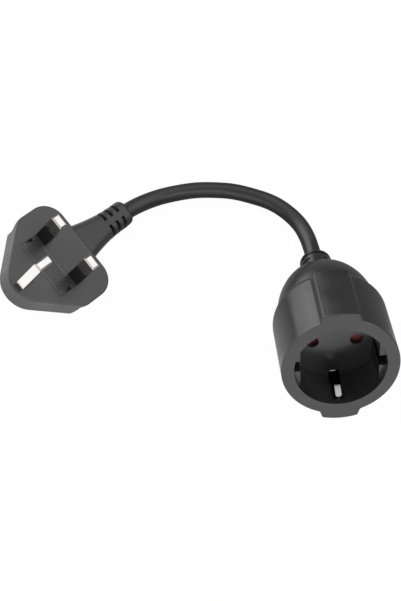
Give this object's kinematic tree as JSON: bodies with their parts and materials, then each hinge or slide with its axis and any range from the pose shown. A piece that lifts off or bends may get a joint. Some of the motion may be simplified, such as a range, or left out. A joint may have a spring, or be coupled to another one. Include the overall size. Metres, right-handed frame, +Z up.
{
  "type": "plug adapter lead",
  "caption": "Short adapter lead: a moulded flat-pin plug with a pull-out fuse carrier, a round black cable and a round earthed coupler socket with a turning shutter.",
  "frame": {"origin": "middle of the plug's and the socket's box, on the surface that the lead lies on", "axes": "+Z up, +X from the plug to the socket, -Y the way the socket's mouth faces"},
  "size_m": [0.1762, 0.1183, 0.0634],
  "materials": {
    "black_pvc": "satin",
    "cable_jacket": "satin",
    "black_nylon": "satin",
    "sleeve_black": "satin",
    "carrier_black": "fine matte",
    "shutter_red": "satin",
    "nickel_plate": "satin plate",
    "contact_brass": "drawn",
    "fuse_ceramic": "glazed",
    "spring_steel": "drawn wire",
    "core_brown": "smooth",
    "core_blue": "smooth",
    "core_green": "smooth"
  },
  "bodies": {
    "lead": {"plug_body": "black_pvc", "socket_housing": "black_pvc", "cable": "cable_jacket", "pin_bridge": "black_nylon", "line_pin_sleeve": "sleeve_black", "neutral_pin_sleeve": "sleeve_black", "socket_face_plate": "black_nylon", "contact_carrier": "black_nylon", "line_pin": "nickel_plate", "neutral_pin": "nickel_plate", "earth_pin": "nickel_plate", "earth_strap": "nickel_plate", "line_fuse_clip": "contact_brass", "load_fuse_clip": "contact_brass", "line_contact": "contact_brass", "neutral_contact": "contact_brass", "shutter_spring": "spring_steel", "plug_line_core": "core_brown", "socket_line_core": "core_brown", "plug_neutral_core": "core_blue", "socket_neutral_core": "core_blue", "plug_earth_core": "core_green", "socket_earth_core": "core_green"},
    "fuse_drawer": {"fuse_carrier": "carrier_black", "fuse_tube": "fuse_ceramic", "fuse_caps": "nickel_plate"},
    "shutter": {"pin_shutter": "shutter_red"}
  },
  "joints": [
    {"name": "fuse_drawer_slide", "type": "slide", "parent": "lead", "child": "fuse_drawer", "axis": [0.3971, -0.0386, 0.917], "range_m": [0, 0.012]},
    {"name": "shutter_turn", "type": "hinge", "parent": "lead", "child": "shutter", "pos_m": [0.05964, -0.01383, 0.02916], "axis": [0.1744, -0.8992, 0.4013], "range_deg": [0, 40], "stiffness_Nm_per_rad": 0.004, "springref_deg": -11.46}
  ]
}
